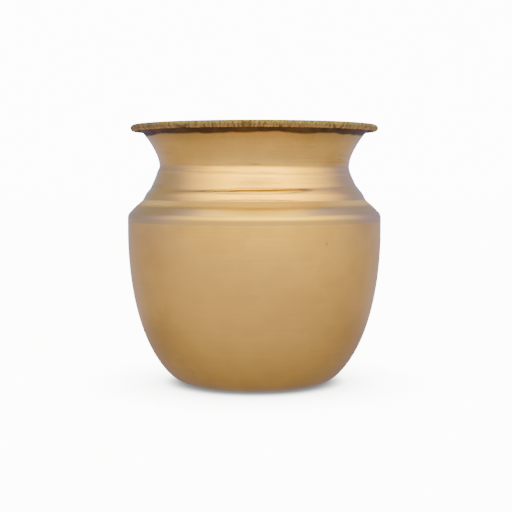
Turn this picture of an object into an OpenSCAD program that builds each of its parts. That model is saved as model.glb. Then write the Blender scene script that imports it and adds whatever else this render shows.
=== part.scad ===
// Kalash, a small water pot of sheet brass. The bowl, the shoulder and the mouth are spun
// separately, lapped one inside the next and brazed, and the lip is rolled over a wire hoop.
// Millimetres, +Z up. The origin is the middle of the flat that the pot stands on.

/* [Bowl] */
// Widest outside diameter
body_d = 103.4; // [84:0.2:126]
// Diameter of the flat that the pot stands on
base_d = 50.2; // [38:0.2:60]
// Radius of the heel, where the flat turns up into the side
heel_round = 14.5; // [10:0.5:18]
// Slope of the side where it leaves the heel, in degrees from level
heel_lean = 46.5; // [38:0.5:56]
// How far up the side the heel's slope is carried, as a share of the side
heel_pull = 0.36; // [0.25:0.01:0.45]
// How far down the side the upright belt is carried, as a share of the side
belt_pull = 0.18; // [0.05:0.01:0.45]
// Height at which the side comes upright
belt_z = 61.5; // [50:0.5:76]

/* [Sheet and seams] */
// Thickness of the brass sheet
wall = 0.6; // [0.5:0.05:0.8]
// Clearance between lapped sheets, filled with braze
braze_gap = 0.08; // [0.05:0.01:0.15]
// Depth of the shoulder's skirt inside the bowl
girth_lap = 3; // [2:0.1:4]
// Length of the mouth's skirt below the throat, over the shoulder's spigot
throat_lap = 2.3; // [1.8:0.1:3]
// Length over which a lapped edge is stepped in from the outside surface
joggle_l = 0.8; // [0.7:0.1:1.2]
// Length of the braze fillet along an inner edge
fillet_l = 0.7; // [0.4:0.1:1]

/* [Shoulder] */
// Height of the shoulder's corner above the girth seam
corner_rise = 3.6; // [3:0.1:5]
// Bending radius of the shoulder's corner
corner_round = 5.4; // [3:0.2:7]
// Height from the shoulder's corner to the foot of the ring
shelf_h = 5.8; // [4.5:0.1:8]
// Height of the ring's own face
ring_h = 2.9; // [2:0.1:4]
// Height from the ring to the foot of the neck
ring_slope_h = 3.1; // [2.4:0.1:4]
// Place of the ring's foot, 0 at the throat and 1 at the side
ring_foot_at = 0.53; // [0.48:0.01:0.6]
// Place of the ring's crown, 0 at the throat and 1 at the side
ring_crown_at = 0.43; // [0.36:0.01:0.46]
// Place of the foot of the neck, 0 at the throat and 1 at the side
neck_foot_at = 0.22; // [0.16:0.01:0.3]
// Bending radius at the foot of the ring
ring_foot_round = 1.2; // [0.8:0.1:2]
// Bending radius at the ring's crown
ring_crown_round = 3.4; // [1.6:0.2:5]
// Bending radius at the foot of the neck
neck_foot_round = 3; // [1.6:0.2:5]

/* [Mouth] */
// Outside diameter of the throat
throat_d = 77.4; // [64:0.2:92]
// Height from the foot of the neck to the throat
neck_h = 7.1; // [5.5:0.1:9]
// Bending radius of the throat
throat_round = 3; // [1.6:0.2:4]
// Lean of the flare where it leaves the throat, in degrees from upright
flare_lean = 4.6; // [0:0.2:12]
// Lean of the lip where it meets the wire, in degrees from upright
lip_lean = 75; // [55:1:85]
// How far up the flare its lower lean is carried, as a share of the flare
flare_pull = 0.26; // [0.2:0.01:0.4]
// How far down the flare the lip's lean is carried, as a share of the flare
lip_pull = 0.2; // [0.1:0.01:0.4]
// Height from the throat to the middle of the rim's wire
flare_h = 15.9; // [13:0.1:20]
// Diameter over the rolled rim
rim_d = 100.6; // [84:0.2:121]

/* [Rim] */
// Diameter of the wire inside the rim
wire_d = 1.5; // [1:0.1:1.8]
// Turn of the sheet's edge round the wire, in degrees
roll_turn = 285; // [240:5:290]
// Gap between the wire's two ends
wire_end_gap = 0.6; // [0.3:0.1:2]

/* [Hidden] */
$fn = 180;
side_steps = 26;
flare_steps = 30;
bend_step = 6;
roll_step = 7.5;
spun_brass = [0.79, 0.62, 0.36];
satin_brass = [0.83, 0.67, 0.42];
dark_brass = [0.56, 0.45, 0.25];
braze_metal = [0.86, 0.74, 0.47];

body_r = body_d / 2;
throat_r = throat_d / 2;
wire_r = wire_d / 2;
lap_in = wall + braze_gap;

skirt_z = belt_z + fillet_l;
girth_z = skirt_z + girth_lap;
corner_z = girth_z + corner_rise;
ring_foot_z = corner_z + shelf_h;
ring_crown_z = ring_foot_z + ring_h;
neck_foot_z = ring_crown_z + ring_slope_h;
throat_z = neck_foot_z + neck_h;
rim_z = throat_z + flare_h;

// Two-dimensional helpers. A point is [radius, height], and a path runs from the foot of a
// piece to its top, so the inside of the pot is on the path's left.
function unit(v) = v / norm(v);
function left(v) = [-v[1], v[0]];
function turned(v, a) = [v[0] * cos(a) - v[1] * sin(a), v[0] * sin(a) + v[1] * cos(a)];
function leaning(a) = [sin(a), cos(a)];
function turn_of(u, v) = atan2(u[0] * v[1] - u[1] * v[0], u * v);
function flipped(path) = [for (i = [len(path) - 1:-1:0]) path[i]];
function across(share) = throat_r + share * (body_r - throat_r);

// The same path moved d to its left, with mitred corners
function inside(path, d) =
    let (last = len(path) - 1)
    [for (i = [0:last])
        let (u = unit(path[max(i, 1)] - path[max(i, 1) - 1]))
        let (v = unit(path[min(i, last - 1) + 1] - path[min(i, last - 1)]))
        path[i] + d * (left(u) + left(v)) / (1 + u * v)];

// An arc that rounds the corner b between a and c, no larger than its straights allow
function bend(a, b, c, radius) =
    let (u = unit(b - a))
    let (v = unit(c - b))
    let (turn = turn_of(u, v))
    let (room = 0.49 * min(norm(b - a), norm(c - b)))
    let (tangent = min(radius * tan(abs(turn) / 2), room))
    let (r = tangent / tan(abs(turn) / 2))
    let (centre = b - tangent * u + sign(turn) * r * left(u))
    let (steps = max(2, ceil(abs(turn) / bend_step)))
    [for (i = [0:steps]) centre + turned(b - tangent * u - centre, turn * i / steps)];

// A smooth curve from p to q that leaves along u and arrives along v
function curve(p, u, u_pull, q, v, v_pull, steps) =
    let (span = norm(q - p))
    let (a = p + u_pull * span * u)
    let (b = q - v_pull * span * v)
    [for (i = [1:steps])
        let (t = i / steps)
        let (s = 1 - t)
        s * s * s * p + 3 * s * s * t * a + 3 * s * t * t * b + t * t * t * q];

// The bowl's outside: the flat, the heel, the side and the upright belt
heel_centre = [base_d / 2, heel_round];
heel_steps = ceil(heel_lean / bend_step);
heel = [for (i = [0:heel_steps]) heel_centre + heel_round * turned([0, -1], heel_lean * i / heel_steps)];
side = curve(heel[heel_steps], turned([1, 0], heel_lean), heel_pull,
    [body_r, belt_z], [0, 1], belt_pull, side_steps);
bowl_path = concat([[0, 0]], heel, side, [[body_r, girth_z]]);

// The shoulder's steps, from the girth seam to the throat
girth_top = [body_r, girth_z + joggle_l];
corner = [body_r, corner_z];
ring_foot = [across(ring_foot_at), ring_foot_z];
ring_crown = [across(ring_crown_at), ring_crown_z];
neck_foot = [across(neck_foot_at), neck_foot_z];
throat = [throat_r, throat_z];
neck_way = unit(throat - neck_foot);
throat_seam = throat - throat_lap * neck_way;
throat_top = throat_seam - joggle_l * neck_way;

// The throat's bend, and the short straight above it that carries the inner fillet
flare_way = leaning(flare_lean);
throat_half = abs(turn_of(neck_way, flare_way)) / 2;
throat_tangent = min(throat_round * tan(throat_half), 0.49 * throat_lap);
flare_foot = throat + (throat_tangent + fillet_l) * flare_way;
throat_bend = bend(throat_seam, throat, throat + throat_lap * flare_way, throat_round);
throat_path = concat([throat_seam], throat_bend);

girth_skirt = [[body_r - lap_in, skirt_z], [body_r - lap_in, girth_z]];
shoulder_path = concat(
    girth_skirt,
    [girth_top],
    bend(girth_top, corner, ring_foot, corner_round),
    bend(corner, ring_foot, ring_crown, ring_foot_round),
    bend(ring_foot, ring_crown, neck_foot, ring_crown_round),
    bend(ring_crown, neck_foot, throat_top, neck_foot_round),
    [throat_top],
    inside(throat_path, lap_in));

// The mouth's flare, and its edge rolled clockwise round the wire
lip_way = leaning(lip_lean);
wire_centre = [rim_d / 2 - wall - wire_r, rim_z];
lip_end = wire_centre + wire_r * left(lip_way);
roll_steps = ceil(roll_turn / roll_step);
roll = [for (i = [1:roll_steps]) wire_centre + wire_r * turned(left(lip_way), -roll_turn * i / roll_steps)];
flare = curve(flare_foot, flare_way, flare_pull, lip_end, lip_way, lip_pull, flare_steps);
mouth_path = concat(throat_path, [flare_foot], flare, roll);

// Sheet metal of one thickness, spun to an outside path
module spun(path) {
    rotate_extrude() polygon(concat(path, flipped(inside(path, wall))));
}

// The lower vessel, with the flat that the pot stands on
module bowl() {
    color(spun_brass) spun(bowl_path);
}

// Braze in the girth lap: the outer groove, the film in the lap and the inner fillet
module girth_braze() {
    bowl_edge = [[body_r - wall, girth_z], [body_r, girth_z]];
    foot = [[body_r - lap_in - wall, skirt_z], [body_r - wall, belt_z]];
    section = concat(foot, bowl_edge, [girth_top], flipped(girth_skirt));
    color(braze_metal) rotate_extrude() polygon(section);
}

// The stepped shoulder, joggled in at both edges
module shoulder() {
    color(satin_brass) spun(shoulder_path);
}

// Braze in the throat lap: the outer groove, the film in the lap and the inner fillet
module throat_braze() {
    mouth_inner = inside(mouth_path, wall);
    mouth_side = [for (i = [0:len(throat_path)]) mouth_inner[i]];
    spigot = inside(throat_path, lap_in);
    spigot_top = inside(spigot, wall)[len(spigot) - 1];
    section = concat([throat_top, throat_seam], mouth_side, [spigot_top], flipped(spigot));
    color(braze_metal) rotate_extrude() polygon(section);
}

// The flaring mouth with its rolled lip
module mouth() {
    color(dark_brass) spun(mouth_path);
}

// The hoop of wire inside the lip, its two ends butted
module rim_wire() {
    gap_turn = 2 * asin(wire_end_gap / 2 / wire_centre[0]);
    rest_turn = 360 - roll_turn;
    rest_steps = ceil(rest_turn / roll_step);
    rest = [for (i = [1:rest_steps])
        wire_centre + wire_r * turned(left(lip_way), -roll_turn - rest_turn * i / rest_steps)];
    color(spun_brass)
        rotate([0, 0, 90 + gap_turn / 2])
            rotate_extrude(angle = 360 - gap_turn) polygon(concat(roll, rest));
}

bowl();
girth_braze();
shoulder();
throat_braze();
mouth();
rim_wire();
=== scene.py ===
import math

import bpy
from mathutils import Matrix, Vector


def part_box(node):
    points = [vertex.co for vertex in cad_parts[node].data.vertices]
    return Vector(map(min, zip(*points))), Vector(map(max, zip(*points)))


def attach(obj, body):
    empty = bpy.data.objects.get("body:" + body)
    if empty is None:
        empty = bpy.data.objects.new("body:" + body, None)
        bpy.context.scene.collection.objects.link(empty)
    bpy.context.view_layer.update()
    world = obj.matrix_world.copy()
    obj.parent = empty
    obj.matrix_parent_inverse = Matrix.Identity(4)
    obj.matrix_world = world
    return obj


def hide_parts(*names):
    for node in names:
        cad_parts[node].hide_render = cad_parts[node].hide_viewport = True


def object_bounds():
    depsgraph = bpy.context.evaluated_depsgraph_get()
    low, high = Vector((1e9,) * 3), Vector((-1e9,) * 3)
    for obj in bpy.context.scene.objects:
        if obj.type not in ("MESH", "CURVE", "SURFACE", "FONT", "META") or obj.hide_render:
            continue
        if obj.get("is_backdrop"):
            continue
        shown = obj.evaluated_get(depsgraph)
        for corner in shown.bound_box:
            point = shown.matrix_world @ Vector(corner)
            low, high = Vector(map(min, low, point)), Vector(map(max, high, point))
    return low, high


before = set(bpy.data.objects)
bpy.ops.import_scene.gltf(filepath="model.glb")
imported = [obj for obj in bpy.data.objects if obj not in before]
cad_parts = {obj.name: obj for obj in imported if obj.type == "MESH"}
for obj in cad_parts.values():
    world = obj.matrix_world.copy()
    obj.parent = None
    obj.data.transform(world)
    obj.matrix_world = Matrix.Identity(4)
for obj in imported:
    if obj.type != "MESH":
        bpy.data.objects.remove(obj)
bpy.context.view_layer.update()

# --- Camera ---------------------------------------------------------------------------------
# A long lens just under half a metre away, a little above the middle of the pot and tipped
# slightly down, so that the rim is seen from just below and the shoulder from just above.
eye = Vector((0.0007, -0.4854, 0.0833))
tip_down = math.radians(3.74)

camera = bpy.data.objects.new("camera", bpy.data.cameras.new("camera"))
camera.data.sensor_width = 36.0
camera.data.lens = 83.25
camera.data.clip_start = 0.01
camera.location = eye
camera.rotation_euler = (math.pi / 2 - tip_down, 0, 0)
bpy.context.scene.collection.objects.link(camera)
bpy.context.scene.camera = camera

# --- Bowl -----------------------------------------------------------------------------------
# The lower vessel is one disc of sheet brass spun over a wooden former: a flat to stand on, a
# round heel and a side that comes upright under the shoulder. The outside is buffed to a
# satin, and the inside is left as it came off the lathe.


def left(v):
    """The vector turned a quarter turn to its left."""
    return Vector((-v.y, v.x))


def turned(v, angle):
    """The vector turned anticlockwise by an angle in degrees."""
    return Matrix.Rotation(math.radians(angle), 2) @ v


def curve(start, way, pull, end, end_way, end_pull, steps):
    """A smooth curve from start to end that leaves along way and arrives along end_way."""
    span = (end - start).length
    a = start + pull * span * way
    b = end - end_pull * span * end_way
    points = []
    for i in range(1, steps + 1):
        t = i / steps
        s = 1 - t
        points.append(s**3 * start + 3 * s * s * t * a + 3 * s * t * t * b + t**3 * end)
    return points


def inside(path, depth):
    """The path moved to its left, with mitred corners."""
    last = len(path) - 1
    moved = []
    for i, point in enumerate(path):
        before = left((path[max(i, 1)] - path[max(i, 1) - 1]).normalized())
        after = left((path[min(i, last - 1) + 1] - path[min(i, last - 1)]).normalized())
        moved.append(point + depth * (before + after) / (1 + before.dot(after)))
    return moved


def add(tree, kind, inputs=None, **settings):
    """A new node with its settings, its sockets set to values or joined to other sockets."""
    node = tree.nodes.new(kind)
    for name, value in settings.items():
        setattr(node, name, value)
    for name, value in (inputs or {}).items():
        if isinstance(value, bpy.types.NodeSocket):
            tree.links.new(value, node.inputs[name])
        else:
            node.inputs[name].default_value = value
    return node


def calc(tree, operation, *values):
    """The result of a Math node."""
    return add(tree, "ShaderNodeMath", dict(enumerate(values)), operation=operation).outputs[0]


def vector(tree, operation, inputs):
    """The node that does one step of vector arithmetic."""
    return add(tree, "ShaderNodeVectorMath", inputs, operation=operation)


def times(tree, *values):
    """The product of several values."""
    result = values[0]
    for value in values[1:]:
        result = calc(tree, "MULTIPLY", result, value)
    return result


def total(tree, *values):
    """The sum of several values."""
    result = values[0]
    for value in values[1:]:
        result = calc(tree, "ADD", result, value)
    return result


def ease(tree, value, low, high, to_low=0.0, to_high=1.0):
    """A value's place between low and high, eased to a place between two others."""
    inputs = {"Value": value, "From Min": low, "From Max": high, "To Min": to_low, "To Max": to_high}
    return add(tree, "ShaderNodeMapRange", inputs, interpolation_type="SMOOTHSTEP").outputs[0]


def hump(tree, value, middle, half):
    """1 at the middle, easing to 0 at half a width on either side."""
    off = calc(tree, "ABSOLUTE", calc(tree, "SUBTRACT", value, middle))
    return ease(tree, off, 0.0, half, 1.0, 0.0)


def noise(tree, x, y, z, detail=2.0, scale=1.0, seed=0.0):
    """Cloudy noise from 0 to 1, read at a point."""
    spot = add(tree, "ShaderNodeCombineXYZ", {"X": x, "Y": y, "Z": z}).outputs[0]
    inputs = {"Vector": spot, "W": seed, "Scale": scale, "Detail": detail}
    return add(tree, "ShaderNodeTexNoise", inputs, noise_dimensions="4D").outputs[0]


def spun_sheet_tree():
    """Geometry nodes that turn an outline into spun sheet, with the unevenness of hand work."""
    tree = bpy.data.node_groups.new("spun_sheet", "GeometryNodeTree")
    sizes = {
        "Steps round": 240,
        "Out of round": 0.0,
        "Dent": 0.0,
        "Ripple": 0.0,
        "Even above": 1.0,
        "Seam height": 1.0,
        "Seam lean": 0.0,
        "Neck height": 1.0,
        "Neck lean": 0.0,
        "Neck drop": 0.0,
        "Ring height": 1.0,
        "Ring pinch": 0.0,
        "Nick": 0.0,
        "Seed": 0.0,
    }
    tree.interface.new_socket("Geometry", in_out="INPUT", socket_type="NodeSocketGeometry")
    for name, value in sizes.items():
        kind = "NodeSocketInt" if isinstance(value, int) else "NodeSocketFloat"
        tree.interface.new_socket(name, in_out="INPUT", socket_type=kind).default_value = value
    tree.interface.new_socket("Finish", in_out="INPUT", socket_type="NodeSocketMaterial")
    tree.interface.new_socket("Geometry", in_out="OUTPUT", socket_type="NodeSocketGeometry")
    given = tree.nodes.new("NodeGroupInput").outputs
    outline = given["Geometry"]
    seed = given["Seed"]

    # A flat grid with a column for each step round and a row for each point of the outline
    count = add(tree, "GeometryNodeAttributeDomainSize", {"Geometry": outline}).outputs["Point Count"]
    columns = calc(tree, "ADD", given["Steps round"], 1)
    sheet_size = {"Size X": 1.0, "Size Y": 1.0, "Vertices X": columns, "Vertices Y": count}
    grid = add(tree, "GeometryNodeMeshGrid", sheet_size).outputs["Mesh"]
    place = add(tree, "GeometryNodeInputPosition").outputs[0]
    across = add(tree, "ShaderNodeSeparateXYZ", {0: place}).outputs
    turn = times(tree, calc(tree, "ADD", across["X"], 0.5), 2 * math.pi)
    row = times(tree, calc(tree, "ADD", across["Y"], 0.5), calc(tree, "SUBTRACT", count, 1))
    index = calc(tree, "ROUND", row)
    ahead = calc(tree, "COSINE", turn)
    aside = calc(tree, "SINE", turn)

    def read(value, kind="FLOAT"):
        inputs = {"Geometry": outline, "Value": value, "Index": index}
        return add(tree, "GeometryNodeSampleIndex", inputs, data_type=kind).outputs[0]

    def named(name):
        return add(tree, "GeometryNodeInputNamedAttribute", {"Name": name}, data_type="FLOAT").outputs[0]

    def stored(name, value, mesh):
        inputs = {"Name": name, "Value": value, "Geometry": mesh}
        kinds = {"data_type": "FLOAT", "domain": "POINT"}
        return add(tree, "GeometryNodeStoreNamedAttribute", inputs, **kinds).outputs[0]

    corner = add(tree, "ShaderNodeSeparateXYZ", {0: read(place, "FLOAT_VECTOR")}).outputs
    radius, height = corner["X"], corner["Z"]
    for name in ("feed", "inner", "filed"):
        grid = stored(name, read(named(name)), grid)

    # The throat seam was set a little crooked, and the crease at the foot of the neck was
    # rubbed in by hand: it climbs on one side and runs down the neck's slope on the other
    seam_reach, neck_reach, ring_reach = 0.0046, 0.0036, 0.0034
    climbs_ahead, climbs_aside = 0.61, 0.79
    neck_slope = 0.75
    seam_weight = hump(tree, height, given["Seam height"], seam_reach)
    seam_rise = times(tree, ahead, given["Seam lean"], seam_weight)
    neck_weight = hump(tree, height, given["Neck height"], neck_reach)
    neck_turn = total(tree, times(tree, ahead, climbs_ahead), times(tree, aside, climbs_aside))
    neck_rise = calc(tree, "SUBTRACT", times(tree, neck_turn, given["Neck lean"]), given["Neck drop"])
    neck_rise = times(tree, neck_rise, neck_weight)
    rise = calc(tree, "SUBTRACT", neck_rise, seam_rise)
    radius = calc(tree, "SUBTRACT", radius, times(tree, neck_rise, neck_slope))

    # The ring is pinched in a little at the front
    front = ease(tree, aside, 0.0, -1.0)
    ring_weight = hump(tree, height, given["Ring height"], ring_reach)
    radius = calc(tree, "SUBTRACT", radius, times(tree, front, ring_weight, given["Ring pinch"]))

    # Out of round, dents and the rings left by the spinning roller, all taken off the radius,
    # but not near the lip or in the middle of the base
    sway_per_metre, dents_per_metre, rings_per_metre = 12.0, 55.0, 480.0
    ring_drift = 0.3
    flat_radius, full_radius = 0.016, 0.036
    sway = noise(tree, ahead, aside, times(tree, height, sway_per_metre), 1.0, 0.8, seed)
    x, y = times(tree, radius, ahead), times(tree, radius, aside)
    dents = noise(tree, x, y, height, 2.0, dents_per_metre, seed)
    drift_x, drift_y = times(tree, ahead, ring_drift), times(tree, aside, ring_drift)
    rings = noise(tree, drift_x, drift_y, times(tree, height, rings_per_metre), 1.0, 1.0, seed)
    sink = total(
        tree,
        times(tree, given["Out of round"], sway),
        times(tree, given["Dent"], dents),
        times(tree, given["Ripple"], rings),
    )
    loose = ease(tree, height, given["Even above"], calc(tree, "SUBTRACT", given["Even above"], 0.008))
    sink = times(tree, sink, ease(tree, radius, flat_radius, full_radius), loose)
    radius = calc(tree, "SUBTRACT", radius, sink)
    x, y = times(tree, radius, ahead), times(tree, radius, aside)
    spun_at = add(tree, "ShaderNodeCombineXYZ", {"X": x, "Y": y, "Z": calc(tree, "ADD", height, rise)})
    spun = add(tree, "GeometryNodeSetPosition", {"Geometry": grid, "Position": spun_at.outputs[0]})
    closed = add(tree, "GeometryNodeMergeByDistance", {"Geometry": spun.outputs[0], "Distance": 1e-6})

    # File nicks: grooves across the edge that slant one way and then the other
    slant_changes, steepest_slant = 5.0, 7.0
    nicks_round, nicks_per_metre = 66.0, 380.0
    at = add(tree, "ShaderNodeSeparateXYZ", {0: place}).outputs
    around = calc(tree, "ARCTAN2", at["Y"], at["X"])
    slant = times(tree, calc(tree, "SINE", times(tree, around, slant_changes)), steepest_slant)
    around = calc(tree, "ADD", around, times(tree, at["Z"], slant))
    nick_x, nick_y = (times(tree, calc(tree, way, around), nicks_round) for way in ("COSINE", "SINE"))
    nicks = noise(tree, nick_x, nick_y, times(tree, at["Z"], nicks_per_metre), 2.0, 1.0, seed)
    depth = times(tree, ease(tree, nicks, 0.44, 0.66), named("filed"), given["Nick"])
    normal = add(tree, "GeometryNodeInputNormal").outputs[0]
    cut = vector(tree, "SCALE", {0: normal, "Scale": times(tree, depth, -1.0)})
    filed = add(tree, "GeometryNodeSetPosition", {"Geometry": closed.outputs[0], "Offset": cut.outputs[0]})
    marked = stored("nick", ease(tree, nicks, 0.42, 0.64), filed.outputs[0])

    # Smooth shading, with the real corners of the sheet's edges kept crisp
    corner_angle = math.radians(38)
    smooth = add(tree, "GeometryNodeSetShadeSmooth", {"Geometry": marked, "Shade Smooth": True})
    fold = add(tree, "GeometryNodeInputMeshEdgeAngle").outputs["Unsigned Angle"]
    sharp = calc(tree, "GREATER_THAN", fold, corner_angle)
    inputs = {"Geometry": smooth.outputs[0], "Selection": sharp, "Shade Smooth": False}
    crisp = add(tree, "GeometryNodeSetShadeSmooth", inputs, domain="EDGE")
    real = add(tree, "GeometryNodeRealizeInstances", {"Geometry": crisp.outputs[0]})
    finish = {"Geometry": real.outputs[0], "Material": given["Finish"]}
    dressed = add(tree, "GeometryNodeSetMaterial", finish)
    tree.links.new(dressed.outputs[0], tree.nodes.new("NodeGroupOutput").inputs[0])
    return tree


spun_sheet = spun_sheet_tree()

# How far the hand work strays from an even turned shape, and at what heights, in metres
hand_work = {
    "Out of round": 0.00012,
    "Dent": 0.00005,
    "Ripple": 0.00002,
    "Even above": 0.0995,
    "Seam height": 0.0855,
    "Seam lean": 0.00074,
    "Neck height": 0.0806,
    "Neck lean": 0.0011,
    "Neck drop": 0.0003,
    "Ring height": 0.0757,
    "Ring pinch": 0.0004,
    "Seed": 4.0,
}


def spin(name, outline, is_inner, finish, is_filed=None, **sizes):
    """A piece turned from its outline, which goes up the outside and down the inside."""
    mesh = bpy.data.meshes.new(name)
    mesh.from_pydata([(p.x, 0.0, p.y) for p in outline], [], [])
    feed, inner, filed = (mesh.attributes.new(key, "FLOAT", "POINT") for key in ("feed", "inner", "filed"))
    length = 0.0
    closed = outline[0] == outline[-1]
    for i, point in enumerate(outline):
        length += (point - outline[i - 1]).length if i else 0.0
        feed.data[i].value = 0.0 if closed and i == len(outline) - 1 else length
        inner.data[i].value = is_inner[i]
        filed.data[i].value = is_filed[i] if is_filed else 0.0
    blank = bpy.data.objects.new(name + "_outline", mesh)
    bpy.context.scene.collection.objects.link(blank)
    modifier = blank.modifiers.new("spin", "NODES")
    modifier.node_group = spun_sheet
    chosen = hand_work | {key.replace("_", " "): value for key, value in sizes.items()}
    chosen["Finish"] = finish
    for item in spun_sheet.interface.items_tree:
        if item.in_out == "INPUT" and item.name in chosen:
            modifier[item.identifier] = chosen[item.name]
    shape = blank.evaluated_get(bpy.context.evaluated_depsgraph_get())
    piece = bpy.data.objects.new(name, bpy.data.meshes.new_from_object(shape))
    piece.data.name = name
    bpy.data.objects.remove(blank)
    bpy.context.scene.collection.objects.link(piece)
    return piece


def wall(path, depth):
    """The outline of a sheet of one thickness, and which of its points are on the inside."""
    inner = inside(path, depth)[::-1]
    return path + inner + [path[0]], [0.0] * len(path) + [1.0] * len(inner) + [0.0]


def mix(tree, share, a, b):
    """A colour that goes from a to b."""
    node = add(tree, "ShaderNodeMix", {0: share}, data_type="RGBA")
    for socket, colour in ((node.inputs[6], a), (node.inputs[7], b)):
        if isinstance(colour, bpy.types.NodeSocket):
            tree.links.new(colour, socket)
        else:
            socket.default_value = (*colour, 1.0)
    return node.outputs[2]


class Brass:
    """A worked brass finish: cloudy colour, rubbed streaks, specks, and a dull inside."""

    def __init__(self, name, pale, deep, roughness, streak_depth):
        self.material = bpy.data.materials.new(name)
        self.material.use_nodes = True
        self.tree = tree = self.material.node_tree
        tree.nodes.clear()
        self.place = add(tree, "ShaderNodeTexCoord").outputs["Object"]
        self.at = add(tree, "ShaderNodeSeparateXYZ", {0: self.place}).outputs
        self.feed = add(tree, "ShaderNodeAttribute", attribute_name="feed").outputs["Fac"]
        self.inner = add(tree, "ShaderNodeAttribute", attribute_name="inner").outputs["Fac"]
        x, y, z = self.at["X"], self.at["Y"], self.at["Z"]
        self.cloud = noise(tree, x, y, z, 3.0, 34.0)
        broad = noise(tree, x, y, z, 2.0, 15.0, 31.0)
        self.mottle = noise(tree, x, y, z, 2.0, 160.0, 3.0)
        turning = times(tree, self.feed, 1500.0)
        self.streak = noise(tree, times(tree, x, 26.0), times(tree, y, 26.0), turning, 4.0, 1.0, 7.0)
        parts = ((self.cloud, 0.55), (self.mottle, 0.3), (self.streak, 0.15))
        shade = total(tree, *(times(tree, value, share) for value, share in parts))
        self.colour = mix(tree, ease(tree, shade, 0.36, 0.64), deep, pale)
        self.colour = mix(tree, ease(tree, broad, 0.42, 0.66, 0.0, 0.55), self.colour, (0.86, 0.45, 0.09))
        self.metal = 1.0
        self.rough = total(tree, roughness, times(tree, self.streak, 0.10), times(tree, self.mottle, 0.04))
        self.relief = total(tree, times(tree, self.streak, streak_depth), times(tree, self.mottle, 8.0e-6))

    def stain_and_painted_light(self, share, colour, rougher=0.0):
        """Lays another colour over part of the surface: used both for real stains and for painted light
        and shade.
        """
        self.colour = mix(self.tree, share, self.colour, colour)
        self.rough = total(self.tree, self.rough, times(self.tree, share, rougher))

    def dull_film_and_shade(self, share, colour):
        """A dull, darker film of polishing paste and tarnish that hides the metal's shine; laid in a
        crease it also serves as painted shade.
        """
        self.stain_and_painted_light(share, colour, 0.25)
        self.metal = calc(self.tree, "SUBTRACT", self.metal, times(self.tree, share, 0.6))

    def specks(self, size, chance, colour):
        """Small dull pits scattered over the surface."""
        tree = self.tree
        cell = add(tree, "ShaderNodeTexVoronoi", {"Vector": self.place, "Scale": 1 / size}, feature="F1")
        which = add(tree, "ShaderNodeSeparateColor", {0: cell.outputs["Color"]}).outputs[0]
        there = calc(tree, "LESS_THAN", which, chance)
        dot = times(tree, ease(tree, cell.outputs["Distance"], 0.08, 0.03), there, 0.45)
        self.stain_and_painted_light(dot, colour, 0.2)
        self.relief = total(tree, self.relief, times(tree, dot, -1.5e-5))

    def rub_marks(self, strength, colour, per_metre, least=0.52, seed=21.0):
        """Broken streaks left round the pot by the polishing rag."""
        tree = self.tree
        x, y = (times(tree, self.at[name], 17.0) for name in ("X", "Y"))
        fine = noise(tree, x, y, times(tree, self.feed, per_metre), 3.0, 1.0, seed)
        patch = noise(tree, self.at["X"], self.at["Y"], self.at["Z"], 2.0, 60.0, seed + 2.0)
        marks = times(tree, ease(tree, fine, least, least + 0.10), ease(tree, patch, 0.42, 0.56))
        self.stain_and_painted_light(times(tree, marks, strength), colour, 0.1)
        self.relief = total(tree, self.relief, times(tree, marks, -1.0e-5))

    def pit(self, x, z, wide, tall):
        """One small pit on the front."""
        tree = self.tree
        there = times(tree, hump(tree, self.at["X"], x, wide), hump(tree, self.at["Z"], z, tall))
        there = times(tree, there, calc(tree, "LESS_THAN", self.at["Y"], 0.0))
        self.stain_and_painted_light(times(tree, there, 0.7), (0.30, 0.17, 0.05), 0.2)

    def old_inside(self, colour):
        """The inside as it came off the lathe: duller, browner and marked by water."""
        tree = self.tree
        x, y, z = self.at["X"], self.at["Y"], self.at["Z"]
        patches = noise(tree, x, y, z, 5.0, 70.0, 11.0)
        share = times(tree, self.inner, ease(tree, patches, 0.32, 0.62, 0.55, 1.0))
        self.stain_and_painted_light(share, colour, 0.16)
        turning = times(tree, self.feed, 900.0)
        groove = noise(tree, times(tree, x, 6.0), times(tree, y, 6.0), turning, 2.0, 1.0, 13.0)
        self.relief = total(tree, self.relief, times(tree, groove, self.inner, 2.5e-5))

    def done(self):
        """The finished material."""
        tree = self.tree
        bump = add(tree, "ShaderNodeBump", {"Strength": 1.0, "Distance": 1.0, "Height": self.relief})
        inputs = {"Base Color": self.colour, "Metallic": self.metal, "Roughness": self.rough}
        shader = add(tree, "ShaderNodeBsdfPrincipled", inputs | {"Normal": bump.outputs[0]})
        add(tree, "ShaderNodeOutputMaterial", {"Surface": shader.outputs[0]})
        return self.material


sheet = 0.0006
base_radius = 0.0251
heel_round = 0.0145
heel_lean = 46.5
body_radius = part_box("bowl")[1].x
belt_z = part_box("girth_braze")[0].z
girth_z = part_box("bowl")[1].z

heel_centre = Vector((base_radius, heel_round))
heel_steps = 14
heel = [
    heel_centre + heel_round * turned(Vector((0, -1)), heel_lean * i / heel_steps)
    for i in range(heel_steps + 1)
]
upright = Vector((0, 1))
belt = Vector((body_radius, belt_z))
side = curve(heel[-1], turned(Vector((1, 0)), heel_lean), 0.36, belt, upright, 0.18, 46)
flat_steps = 8
flat = [Vector((base_radius * i / flat_steps, 0.0)) for i in range(flat_steps)]
bowl_path = flat + heel + side + [Vector((body_radius, girth_z))]

speck = (0.40, 0.23, 0.07)
satin = Brass("bowl_brass", (0.95, 0.52, 0.08), (0.80, 0.425, 0.07), 0.26, 1.0e-6)
satin.rub_marks(0.12, (0.70, 0.38, 0.06), 900.0)
satin.specks(0.012, 0.06, speck)
satin.pit(0.0272, 0.0589, 0.0006, 0.0012)
satin.old_inside((0.50, 0.30, 0.10))
bowl_inner = inside(bowl_path, sheet)[::-1]
bowl_sides = [0.0] * len(bowl_path) + [1.0] * len(bowl_inner)
steps_round = 300
bowl = spin("bowl_sheet", bowl_path + bowl_inner, bowl_sides, satin.done(), Steps_round=steps_round)
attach(bowl, "root")
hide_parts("bowl")

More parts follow.
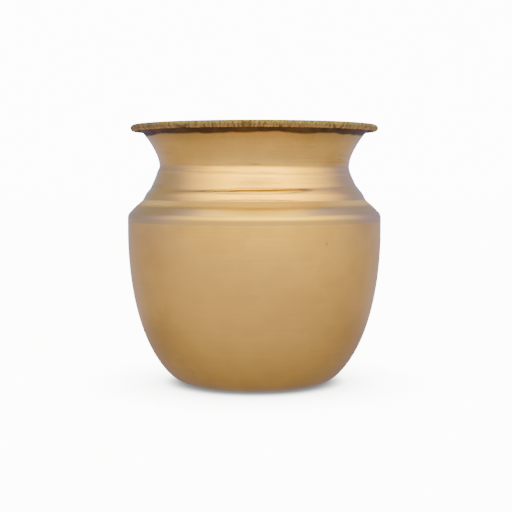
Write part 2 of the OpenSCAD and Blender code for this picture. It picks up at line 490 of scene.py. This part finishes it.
# --- Girth braze ----------------------------------------------------------------------------
# Brass filler run into the lap between the bowl and the shoulder. Outside it is filed and
# buffed flush, so it hardly shows. Inside it stands as a small uneven fillet.
skirt_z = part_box("shoulder")[0].z
joggle = 0.0008
braze_gap = 0.00008
lap_in = sheet + braze_gap
skirt = [Vector((body_radius - lap_in, skirt_z)), Vector((body_radius - lap_in, girth_z))]
girth_top = Vector((body_radius, girth_z + joggle))
fillet_foot = Vector((body_radius - lap_in - sheet, skirt_z))
bowl_edge = [Vector((body_radius - sheet, z)) for z in (belt_z, girth_z)]
bowl_edge.append(Vector((body_radius, girth_z)))
braze_outline = [fillet_foot] + bowl_edge + [girth_top] + skirt[::-1] + [fillet_foot]

filler = Brass("braze", (0.90, 0.51, 0.10), (0.74, 0.40, 0.08), 0.32, 3.0e-6)
filler.old_inside((0.42, 0.25, 0.09))
braze_metal = filler.done()
inner_side = [1.0, 1.0, 1.0, 0.0, 0.0, 1.0, 1.0, 1.0]
girth_braze = spin("girth_fillet", braze_outline, inner_side, braze_metal, Steps_round=steps_round)
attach(girth_braze, "root")
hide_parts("girth_braze")

# --- Shoulder -------------------------------------------------------------------------------
# The stepped shoulder is a second spun piece. Both its edges are stepped in by a sheet's
# thickness: the skirt sits inside the bowl, and the spigot inside the mouth. The ring and the
# neck are polished; the shelf below them is a little rougher, with painted shade making it darker.


def bend(a, b, c, radius, step=4.0):
    """An arc that rounds the corner b between a and c."""
    way, next_way = (b - a).normalized(), (c - b).normalized()
    turn = math.degrees(math.atan2(way.x * next_way.y - way.y * next_way.x, way.dot(next_way)))
    half = math.tan(math.radians(abs(turn) / 2))
    tangent = min(radius * half, 0.49 * min((b - a).length, (c - b).length))
    start = b - tangent * way
    centre = start + math.copysign(tangent / half, turn) * left(way)
    steps = max(2, math.ceil(abs(turn) / step))
    return [centre + turned(start - centre, turn * i / steps) for i in range(steps + 1)]


def between(a, b, step=0.0006):
    """Points along a straight, close enough together to carry ripples."""
    count = max(1, round((b - a).length / step))
    return [a.lerp(b, i / count) for i in range(1, count)]


throat_radius = 0.0387
shoulder_span = body_radius - throat_radius
corner_rise = 0.0036
shelf_height = 0.0058
ring_height = 0.0026
ring_slope_height = 0.0034
neck_height = 0.0071
corner = Vector((body_radius, girth_z + corner_rise))
ring_foot = Vector((throat_radius + 0.53 * shoulder_span, corner.y + shelf_height))
ring_crown = Vector((throat_radius + 0.43 * shoulder_span, ring_foot.y + ring_height))
neck_foot = Vector((throat_radius + 0.22 * shoulder_span, ring_crown.y + ring_slope_height))
throat = Vector((throat_radius, neck_foot.y + neck_height))
throat_lap = 0.0023
throat_round = 0.003
neck_way = (throat - neck_foot).normalized()
flare_way = turned(upright, -4.6)
throat_seam = throat - throat_lap * neck_way
throat_top = throat_seam - joggle * neck_way
throat_path = [throat_seam] + bend(throat_seam, throat, throat + throat_lap * flare_way, throat_round)

shelf_bulge = 0.0002
shelf = corner.lerp(ring_foot, 0.5) - shelf_bulge * left((ring_foot - corner).normalized())

shoulder_path = skirt + [girth_top]
for arc in (
    bend(girth_top, corner, shelf, 0.0054),
    bend(corner, shelf, ring_foot, 0.02),
    bend(shelf, ring_foot, ring_crown, 0.0012),
    bend(ring_foot, ring_crown, neck_foot, 0.0034),
    bend(ring_crown, neck_foot, throat_top, 0.003),
    [throat_top],
):
    shoulder_path += between(shoulder_path[-1], arc[0]) + arc
shoulder_path += inside(throat_path, lap_in)

polished = Brass("shoulder_brass", (0.96, 0.51, 0.07), (0.89, 0.47, 0.07), 0.12, 5.0e-6)
polished.rub_marks(0.4, (0.52, 0.31, 0.08), 1500.0, 0.58)
polished.rub_marks(0.5, (0.50, 0.30, 0.08), 700.0, 0.64, 41.0)

# Polishing paste left in the crease at the ring's foot: a dull, darker film that also paints the crease's
# shade
tree = polished.tree
above_foot = calc(tree, "SUBTRACT", polished.at["Z"], ring_foot.y)
in_crease = times(tree, ease(tree, above_foot, 0.0004, -0.0001), ease(tree, above_foot, -0.0026, -0.0006))
crease_paste_and_shade = times(tree, in_crease, ease(tree, polished.cloud, 0.3, 0.6, 0.6, 1.0))
polished.dull_film_and_shade(crease_paste_and_shade, (0.54, 0.36, 0.13))
# Painted shade on the shoulder below the ring's foot, which makes the shelf darker than the ring
shelf_painted_shade = ease(tree, above_foot, -0.0006, -0.0018)
polished.stain_and_painted_light(times(tree, shelf_painted_shade, 0.85), (0.66, 0.40, 0.11), 0.14)
polished.specks(0.012, 0.06, speck)
polished.old_inside((0.50, 0.30, 0.10))
outline, is_inner = wall(shoulder_path, sheet)
finish = polished.done()
shoulder = spin("shoulder_sheet", outline, is_inner, finish, Steps_round=steps_round, Ripple=0.00003)
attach(shoulder, "root")
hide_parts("shoulder")

# --- Mouth ----------------------------------------------------------------------------------
# The mouth is a third spun piece, flaring from the throat. Its edge is rolled outwards and
# under, round a wire. The roll is filed across but never buffed, so it stays dark, with a
# painted highlight along its lower edge. The strip of neck just under it, which the buffing
# wheel can't reach, is unbuffed tarnish darkened further with painted shade.
wire_radius = 0.00075
bead_radius = wire_radius + sheet
mouth_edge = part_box("mouth")[1]
wire_centre = Vector((mouth_edge.x - bead_radius, mouth_edge.z - bead_radius))
lip_way = turned(upright, -75)
lip_end = wire_centre + wire_radius * left(lip_way)
roll_turn = 285
roll_steps = 22
roll = [
    wire_centre + wire_radius * turned(left(lip_way), -roll_turn * i / roll_steps)
    for i in range(1, roll_steps + 1)
]
fillet = 0.0007
throat_half = neck_way.angle(flare_way) / 2
flare_foot = throat + (throat_round * math.tan(throat_half) + fillet) * flare_way
flare = curve(flare_foot, flare_way, 0.26, lip_end, lip_way, 0.2, 20)
mouth_path = throat_path + [flare_foot] + flare + roll
mouth_inner = inside(mouth_path, sheet)
outline = mouth_path + mouth_inner[::-1] + [mouth_path[0]]
lip_starts = len(mouth_path) - len(roll)
unfiled_steps = 3
on_bead = [float(i >= lip_starts + unfiled_steps) for i in range(len(mouth_path))]
is_inner = [0.0] * len(mouth_path) + [1.0 - filed for filed in on_bead[::-1]] + [0.0]
is_filed = [0.0] * len(mouth_path) + on_bead[::-1] + [0.0]
run_to_lip = sum((b - a).length for a, b in zip(mouth_path, mouth_path[1:lip_starts]))

rubbed = Brass("mouth_brass", (0.94, 0.51, 0.08), (0.82, 0.43, 0.07), 0.18, 4.0e-6)
rubbed.rub_marks(0.5, (0.58, 0.33, 0.06), 1300.0)
rubbed.rub_marks(0.5, (0.50, 0.29, 0.07), 600.0, 0.58, 41.0)

# Painted shade on the flare under the bead, and a dark strip just under the bead that is unbuffed tarnish
# darkened with painted shade, both with a wavy lower edge
tree = rubbed.tree
wave = noise(tree, rubbed.at["X"], rubbed.at["Y"], 0.0, 3.0, 75.0, 5.0)
edge = times(tree, calc(tree, "SUBTRACT", wave, 0.5), 0.0035)
past_lip = calc(tree, "SUBTRACT", calc(tree, "ADD", rubbed.feed, edge), run_to_lip)
outside = calc(tree, "SUBTRACT", 1.0, rubbed.inner)
flare_painted_shade = times(tree, ease(tree, past_lip, -0.0125, -0.0060), outside)
rubbed.stain_and_painted_light(times(tree, flare_painted_shade, 0.7), (0.54, 0.29, 0.05), 0.04)
# The strip: unbuffed tarnish, darkened further as painted shade under the bead
strip_tarnish_and_shade = times(tree, ease(tree, past_lip, -0.0067, -0.0056), outside)
strip_tarnish_and_shade = times(tree, strip_tarnish_and_shade, ease(tree, rubbed.mottle, 0.3, 0.7, 0.88, 1.0))
rubbed.stain_and_painted_light(strip_tarnish_and_shade, (0.095, 0.055, 0.022), 0.3)

# The filed bead: dull olive, painted lighter and browner towards its lower edge as a highlight, and dark
# in the nicks
bead = add(tree, "ShaderNodeAttribute", attribute_name="filed").outputs["Fac"]
nick = add(tree, "ShaderNodeAttribute", attribute_name="nick").outputs["Fac"]
above_bead_highlight = ease(tree, rubbed.at["Z"], wire_centre.y - 0.0010, wire_centre.y - 0.0004)
bead_tone_and_highlight = mix(tree, above_bead_highlight, (0.60, 0.37, 0.13), (0.34, 0.24, 0.105))
bead_tone_and_highlight = mix(tree, times(tree, nick, 0.8), bead_tone_and_highlight, (0.09, 0.06, 0.028))
rubbed.stain_and_painted_light(bead, bead_tone_and_highlight, 0.22)

# A small dark mark on the front of the throat, and patches of dirt along the seam
throat_mark_z = throat.y + 0.0010
throat_mark = times(tree, hump(tree, rubbed.at["Z"], throat_mark_z, 0.00045), hump(tree, rubbed.at["X"], 0.0006, 0.0040))
throat_mark = times(tree, throat_mark, calc(tree, "LESS_THAN", rubbed.at["Y"], 0.0))
rubbed.stain_and_painted_light(times(tree, throat_mark, 0.8), (0.30, 0.19, 0.05), 0.2)
seam_patch = noise(tree, rubbed.at["X"], rubbed.at["Y"], 0.0, 2.0, 45.0, 9.0)
seam_dirt = times(tree, hump(tree, rubbed.feed, 0.0001, 0.0003), ease(tree, seam_patch, 0.40, 0.60))
rubbed.stain_and_painted_light(times(tree, seam_dirt, outside, 0.8), (0.30, 0.18, 0.06), 0.2)
rubbed.specks(0.012, 0.06, speck)
rubbed.old_inside((0.55, 0.33, 0.11))
mouth = spin("mouth_sheet", outline, is_inner, rubbed.done(), is_filed, Steps_round=900, Nick=0.00012)
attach(mouth, "root")
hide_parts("mouth")

# --- Throat braze ---------------------------------------------------------------------------
# The same filler in the lap between the shoulder's spigot and the mouth. It has shrunk back a
# little between the two sheets, which leaves a fine dark line round the throat.
spigot = inside(throat_path, lap_in)
spigot_top = inside(spigot, sheet)[-1]
groove_foot = throat_top.lerp(throat_seam, 0.6)
shrunk = 0.00001
groove = throat_top.lerp(throat_seam, 0.88) + shrunk * left(neck_way)
groove_outline = [throat_top, groove_foot, groove, throat_seam]
groove_outline += mouth_inner[: len(throat_path) + 1] + [spigot_top] + spigot[::-1] + [throat_top]
groove_sides = [0.0] * 4 + [1.0] * (len(groove_outline) - 5) + [0.0]
throat_braze = spin("throat_fillet", groove_outline, groove_sides, braze_metal, Steps_round=steps_round)
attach(throat_braze, "root")
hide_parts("throat_braze")

# --- Rim wire -------------------------------------------------------------------------------
# A hoop of drawn brass wire inside the rolled lip, which stiffens the mouth. Its two ends meet
# at the back, and only a sliver of it shows in the slot under the roll.
drawn = Brass("wire_brass", (0.60, 0.36, 0.12), (0.42, 0.24, 0.08), 0.3, 3.0e-6)
rim_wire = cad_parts["rim_wire"]
rim_wire.data.materials.clear()
rim_wire.data.materials.append(drawn.done())

# --- Studio ---------------------------------------------------------------------------------
# A white table and white paper all round. The light is a soft dome: a broad front panel that
# brightens upwards, a narrow dark gap, and a panel overhead. It is warm, and bluer at the sides,
# low down and in the gap. The table and the paper look white to the camera, and the metal sees
# the dome instead, and a table that is dimmer and a little blue.
world = bpy.data.worlds.new("studio")
bpy.context.scene.world = world
world.use_nodes = True
tree = world.node_tree
tree.nodes.clear()
way = add(tree, "ShaderNodeSeparateXYZ", {0: add(tree, "ShaderNodeTexCoord").outputs["Generated"]}).outputs

# In degrees: how high above the horizon, how far round from the front, and how far to the side
high = calc(tree, "DEGREES", calc(tree, "ARCSINE", way["Z"]))
round_at = calc(tree, "DEGREES", calc(tree, "ARCTAN2", way["X"], times(tree, way["Y"], -1.0)))
front_at = 9.0
side = calc(tree, "ABSOLUTE", calc(tree, "SUBTRACT", round_at, front_at))
front = ease(tree, side, 10.0, 124.0, 1.0, 0.0)
climb = ease(tree, high, -8.0, 38.0, 0.42, 5.5)
join = ease(tree, calc(tree, "ABSOLUTE", round_at), 0.0, 26.0, 0.9, 1.0)
panel = times(tree, front, climb, join, ease(tree, high, 55.0, 53.0))
top = times(tree, ease(tree, high, 60.5, 62.5), ease(tree, way["Y"], 0.18, -0.04, 0.3, 1.0))
top = times(tree, top, ease(tree, high, 70.0, 86.0, 4.2, 2.8))
light = calc(tree, "ADD", panel, top)
warm = (1.0, 0.93, 0.14)
haze = (0.39, 0.43, 0.45)
air = vector(tree, "SCALE", {0: warm, "Scale": light}).outputs[0]
air = vector(tree, "ADD", {0: air, 1: haze}).outputs[0]
for share, tint in (
    (ease(tree, high, 30.0, 5.0), (0.0, 0.01, 0.28)),
    (ease(tree, side, 60.0, 115.0), (0.06, 0.08, 0.15)),
    (hump(tree, side, 100.0, 54.0), (0.06, 0.09, 1.5)),
    (hump(tree, high, 57.5, 8.0), (0.05, 0.12, 1.3)),
):
    air = vector(tree, "MULTIPLY_ADD", {0: tint, 1: share, 2: air}).outputs[0]
white = 13.0
seen = add(tree, "ShaderNodeLightPath").outputs["Is Camera Ray"]
background = add(tree, "ShaderNodeBackground", {"Color": mix(tree, seen, air, (white, white, white))})
add(tree, "ShaderNodeOutputWorld", {"Surface": background.outputs[0]})

table_half = 4.0
table_mesh = bpy.data.meshes.new("table")
table_corners = [(x * table_half, y * table_half, 0) for x, y in ((-1, -1), (1, -1), (1, 1), (-1, 1))]
table_mesh.from_pydata(table_corners, [], [(0, 1, 2, 3)])
table = bpy.data.objects.new("table", table_mesh)
bpy.context.scene.collection.objects.link(table)
clear_of_base = 0.0001
table.location.z = -clear_of_base
table_white = bpy.data.materials.new("table_white")
table_white.use_nodes = True
tree = table_white.node_tree
tree.nodes.clear()

# To the camera: white, with a close dark shadow under the base and a wide faint one
near = add(tree, "ShaderNodeAmbientOcclusion", {"Distance": 0.006}, samples=16).outputs["AO"]
wide = add(tree, "ShaderNodeAmbientOcclusion", {"Distance": 0.05}, samples=16).outputs["AO"]
lit = times(tree, ease(tree, near, 0.0, 0.9, 0.08, 1.0), ease(tree, wide, 0.1, 0.95, 0.24, 1.0), white)
glow = add(tree, "ShaderNodeEmission", {"Color": (1.0, 0.99, 0.97, 1.0), "Strength": lit})

# To the metal: brighter towards the front, and dimmer beside and behind the pot
floor = add(tree, "ShaderNodeTexCoord").outputs["Object"]
spot = add(tree, "ShaderNodeSeparateXYZ", {0: floor}).outputs
away = vector(tree, "LENGTH", {0: floor}).outputs["Value"]
reach = {"Value": spot["Y"], "From Min": 0.05, "From Max": -0.3, "To Min": 0.6, "To Max": 1.1}
forward = add(tree, "ShaderNodeMapRange", reach).outputs[0]
shade = times(tree, ease(tree, away, 0.16, 0.07), ease(tree, spot["Y"], -0.08, 0.0), -0.4)
own_shade = calc(tree, "ADD", shade, 1.0)
dim = times(tree, forward, own_shade, ease(tree, wide, 0.0, 0.9, 0.6, 1.0))
plain = add(tree, "ShaderNodeEmission", {"Color": (1.0, 1.02, 1.5, 1.0), "Strength": dim})
seen = add(tree, "ShaderNodeLightPath").outputs["Is Camera Ray"]
surface = add(tree, "ShaderNodeMixShader", {0: seen, 1: plain.outputs[0], 2: glow.outputs[0]})
add(tree, "ShaderNodeOutputMaterial", {"Surface": surface.outputs[0]})
table_mesh.materials.append(table_white)
table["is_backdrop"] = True

low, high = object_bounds()
